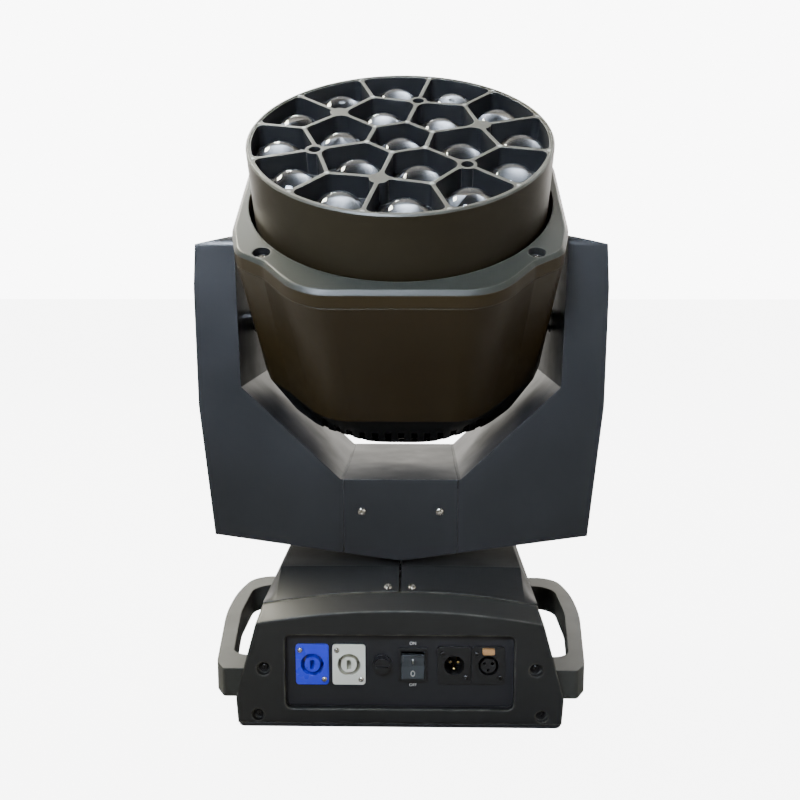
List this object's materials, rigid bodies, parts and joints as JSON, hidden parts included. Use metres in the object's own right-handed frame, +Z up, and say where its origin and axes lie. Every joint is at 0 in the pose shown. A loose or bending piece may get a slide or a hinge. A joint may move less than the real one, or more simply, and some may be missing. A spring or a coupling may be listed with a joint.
{
  "type": "moving head light",
  "caption": "Moving head stage light: base with handles and connectors, panning yoke, tilting head and a turning, zooming honeycomb lens drum.",
  "frame": {"origin": "centre of the base plate's underside, on the pan axis", "axes": "+Z up along the pan axis, -Y towards the connector side, +X to the right seen from there"},
  "size_m": [0.332, 0.3197, 0.5268],
  "materials": {
    "base_plastic": "fine moulded grain, satin",
    "handle_plastic": "smooth moulded, satin",
    "arm_plastic": "fine moulded grain, satin",
    "head_plastic": "smooth satin",
    "tail_plastic": "satin",
    "drum_plastic": "satin with faint scratches",
    "grid_plastic": "satin",
    "lens_glass": "clear polished",
    "black_steel": "powder coat",
    "plain_steel": "zinc plated",
    "bright_steel": "ground",
    "plain_aluminium": "machined",
    "motor_black": "satin",
    "black_rubber": "matt",
    "blue_plastic": "satin moulded",
    "white_plastic": "satin moulded",
    "connector_black": "satin moulded",
    "rocker_grey": "gloss",
    "latch_tan": "satin",
    "screen_glass": "polished",
    "board_white": "solder mask"
  },
  "bodies": {
    "base": {"base_plate": "black_steel", "rubber_feet": "black_rubber", "front_fascia": "base_plastic", "rear_fascia": "base_plastic", "side_wall_left": "base_plastic", "side_wall_right": "base_plastic", "top_cover_left": "base_plastic", "top_cover_right": "base_plastic", "handle_left": "handle_plastic", "handle_right": "handle_plastic", "connector_panel": "black_steel", "power_inlet": "blue_plastic", "power_outlet": "white_plastic", "fuse_holder": "connector_black", "switch_housing": "connector_black", "signal_inlet": "connector_black", "signal_outlet": "connector_black", "display_panel": "black_steel", "display_screen": "screen_glass", "chassis_bridge": "plain_steel", "power_supply": "plain_steel", "pan_bearing": "bright_steel", "pan_motor": "motor_black", "pan_belt": "black_rubber"},
    "yoke": {"pan_tube": "plain_aluminium", "pan_pulley": "plain_aluminium", "yoke_frame": "plain_steel", "arm_cover_left": "arm_plastic", "arm_cover_right": "arm_plastic", "centre_cover": "arm_plastic", "tilt_motor": "motor_black", "tilt_belt": "black_rubber"},
    "head": {"head_deck": "plain_aluminium", "tilt_axle_left": "plain_aluminium", "tilt_axle_right": "plain_aluminium", "tilt_pulley": "plain_aluminium", "head_cover_front": "head_plastic", "head_cover_back": "head_plastic", "head_bezel": "head_plastic", "rear_cover": "tail_plastic", "heat_sink": "plain_aluminium", "led_board": "board_white", "collimators": "lens_glass", "fan_frame": "connector_black"},
    "fan": {"fan_rotor": "connector_black"},
    "zoom": {"zoom_carriage": "plain_aluminium"},
    "lens_head": {"lens_drum": "drum_plastic", "honeycomb_grid": "grid_plastic", "lens_array": "lens_glass"},
    "pan_drive": {"pan_motor_pulley": "plain_aluminium"},
    "tilt_drive": {"tilt_motor_pulley": "plain_aluminium"},
    "rocker": {"switch_rocker": "rocker_grey"},
    "latch": {"latch_tab": "latch_tan"},
    "fuse": {"fuse_cap": "connector_black"},
    "button_1": {"menu_button_1": "connector_black"},
    "button_2": {"menu_button_2": "connector_black"},
    "button_3": {"menu_button_3": "connector_black"},
    "button_4": {"menu_button_4": "connector_black"}
  },
  "joints": [
    {"name": "pan", "type": "hinge", "parent": "base", "child": "yoke", "pos_m": [0, 0, 0.118], "axis": [0, 0, 1], "range_deg": [-270, 270]},
    {"name": "tilt", "type": "hinge", "parent": "yoke", "child": "head", "pos_m": [0, 0, 0.316], "axis": [1, 0, 0], "range_deg": [-114, 46]},
    {"name": "zoom", "type": "slide", "parent": "head", "child": "zoom", "axis": [0, -0.5592, 0.829], "range_m": [-0.022, 0]},
    {"name": "lens_rotation", "type": "hinge", "parent": "zoom", "child": "lens_head", "pos_m": [0, 0, 0.316], "axis": [0, -0.5592, 0.829], "continuous": true},
    {"name": "fan_spin", "type": "hinge", "parent": "head", "child": "fan", "pos_m": [0, 0, 0.316], "axis": [0, -0.5592, 0.829], "continuous": true},
    {"name": "pan_drive_spin", "type": "hinge", "parent": "base", "child": "pan_drive", "pos_m": [0.07, 0, 0.1], "axis": [0, 0, 1], "range_deg": [-1460, 1460]},
    {"name": "tilt_drive_spin", "type": "hinge", "parent": "yoke", "child": "tilt_drive", "pos_m": [0.15, 0, 0.205], "axis": [1, 0, 0], "range_deg": [-366.8, 149.2]},
    {"name": "power_switch", "type": "hinge", "parent": "base", "child": "rocker", "pos_m": [0.0105, -0.1215, 0.05], "axis": [1, 0, 0], "range_deg": [-16, 0]},
    {"name": "fuse_turn", "type": "hinge", "parent": "base", "child": "fuse", "pos_m": [-0.014, -0.122, 0.05], "axis": [0, -1, 0], "range_deg": [0, 90]},
    {"name": "latch_push", "type": "slide", "parent": "base", "child": "latch", "axis": [0, 1, 0], "range_m": [0, 0.0012], "stiffness_N_per_m": 500},
    {"name": "button_1_push", "type": "slide", "parent": "base", "child": "button_1", "axis": [0, -1, 0], "range_m": [0, 0.001], "stiffness_N_per_m": 600},
    {"name": "button_2_push", "type": "slide", "parent": "base", "child": "button_2", "axis": [0, -1, 0], "range_m": [0, 0.001], "stiffness_N_per_m": 600},
    {"name": "button_3_push", "type": "slide", "parent": "base", "child": "button_3", "axis": [0, -1, 0], "range_m": [0, 0.001], "stiffness_N_per_m": 600},
    {"name": "button_4_push", "type": "slide", "parent": "base", "child": "button_4", "axis": [0, -1, 0], "range_m": [0, 0.001], "stiffness_N_per_m": 600}
  ],
  "couplings": [
    {"joint": "pan_drive_spin", "follows": "pan", "ratio": 5.4},
    {"joint": "tilt_drive_spin", "follows": "tilt", "ratio": 3.2}
  ]
}
